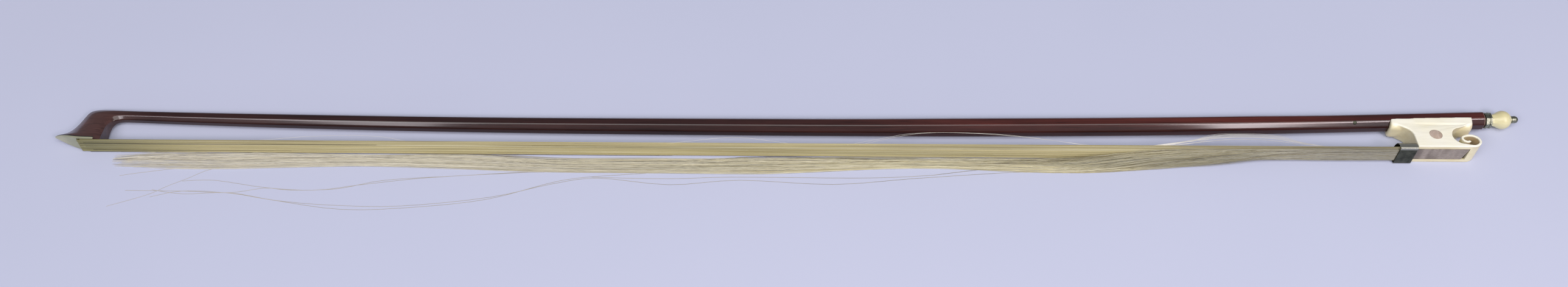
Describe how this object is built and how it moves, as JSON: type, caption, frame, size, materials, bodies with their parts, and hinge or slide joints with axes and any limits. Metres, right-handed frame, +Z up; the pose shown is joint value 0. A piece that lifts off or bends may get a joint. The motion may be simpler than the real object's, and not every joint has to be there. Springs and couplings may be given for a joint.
{
  "type": "violin bow",
  "caption": "Violin bow lying on its side: octagonal cambered stick, pale head plate, hair ribbon with broken strands, carved pale frog with a scroll heel and a screw button.",
  "frame": {"origin": "middle of the bow's box, on the surface it lies on", "axes": "+X along the bow from the tip to the button, +Y from the hair to the stick's back, +Z up from the surface"},
  "size_m": [0.7439, 0.0621, 0.0132],
  "materials": {
    "stick_wood": "dark red-brown, polished",
    "ebony": "black, smooth",
    "ivory": "cream, polished imitation ivory",
    "bulb_ivory": "yellowed cream, polished imitation ivory",
    "pearl": "pinkish grey-brown mother-of-pearl",
    "silver": "worn, tarnished silver",
    "steel": "plain",
    "brass": "plain",
    "maple": "bare",
    "horsehair": "yellowed natural hair"
  },
  "bodies": {
    "stick": {"stick": "stick_wood", "tip_liner": "ebony", "tip_plate": "ivory", "head_plug": "maple", "tip_hair_knot": "horsehair", "hair_ribbon": "horsehair", "handle_pin": "silver"},
    "frog": {"frog_body": "ivory", "pearl_eye_upper": "pearl", "pearl_eye_lower": "pearl", "slide_backing": "ebony", "slide_pearl": "pearl", "ferrule": "silver", "ferrule_wedge": "maple", "frog_plug": "maple", "frog_hair_knot": "horsehair", "eyelet": "brass", "loose_hair": "horsehair"},
    "screw": {"screw": "steel", "button_collar": "silver", "button_bulb": "bulb_ivory", "button_finial": "silver"}
  },
  "joints": [
    {"name": "screw_turn", "type": "hinge", "parent": "stick", "child": "screw", "pos_m": [0.35353, 0.02657, 0.00484], "axis": [-0.9993, -0.0371, 0.0011], "range_deg": [-1260, 1800]},
    {"name": "frog_slide", "type": "slide", "parent": "stick", "child": "frog", "axis": [0.9993, 0.0371, -0.0011], "range_m": [-0.00279, 0.00399]}
  ],
  "couplings": [
    {"joint": "screw_turn", "follows": "frog_slide", "rad_per_m": 7854.2}
  ]
}
